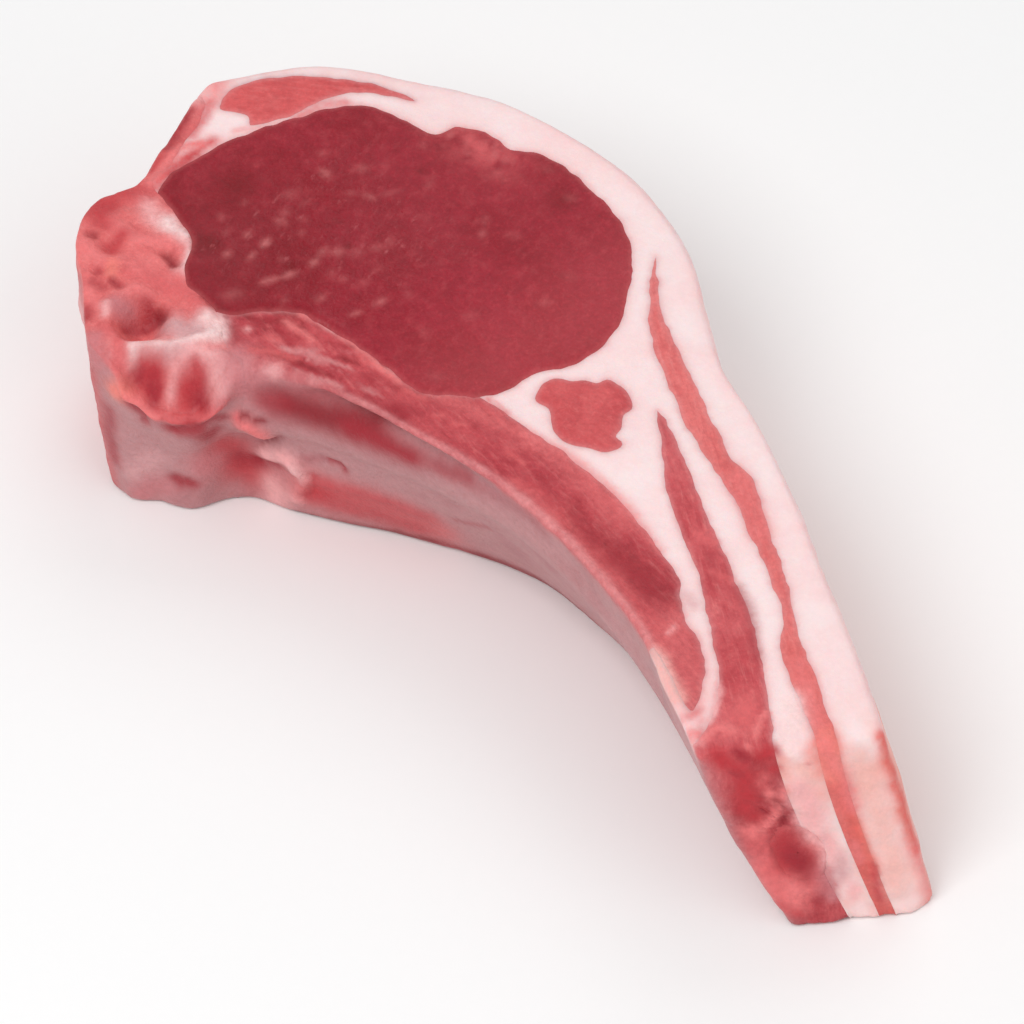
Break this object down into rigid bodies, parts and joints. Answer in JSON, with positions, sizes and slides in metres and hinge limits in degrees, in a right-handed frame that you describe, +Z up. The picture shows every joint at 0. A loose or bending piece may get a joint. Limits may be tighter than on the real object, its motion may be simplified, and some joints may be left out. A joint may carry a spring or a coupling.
{
  "type": "raw goat chop",
  "caption": "Thick raw rib chop lying on its cut face: a large eye muscle, smaller muscles, a fat layer, a piece of backbone and a rib that curves to the tail end.",
  "frame": {"origin": "middle of the part's box, in the plane of the lower cut face that it rests on", "axes": "+X from the backbone to the tail end, +Y to the outer fat side, +Z up through the thickness to the shown cut face"},
  "size_m": [0.149, 0.0726, 0.0288],
  "materials": {
    "eye_muscle": "moist raw muscle, deep red, fine grain with a few pale flecks of fat",
    "small_muscle": "moist raw muscle, light red",
    "rib_muscle": "moist raw muscle with pale fibres, under a grey-pink membrane at the inner side",
    "fat": "firm pinkish white fat, with a moist orange-pink membrane at the outer side",
    "vertebra": "sawn bone: pale pink rim, red porous marrow",
    "rib_bone": "bone under a smooth grey-pink membrane, dark red marrow at the sawn end"
  },
  "bodies": {
    "root": {"eye_muscle": "eye_muscle", "cap_muscle": "small_muscle", "kernel_muscle": "small_muscle", "outer_strip_muscle": "small_muscle", "inner_strip_muscle": "small_muscle", "rib_muscle": "rib_muscle", "fat": "fat", "vertebra": "vertebra", "rib_bone": "rib_bone"}
  },
  "joints": []
}
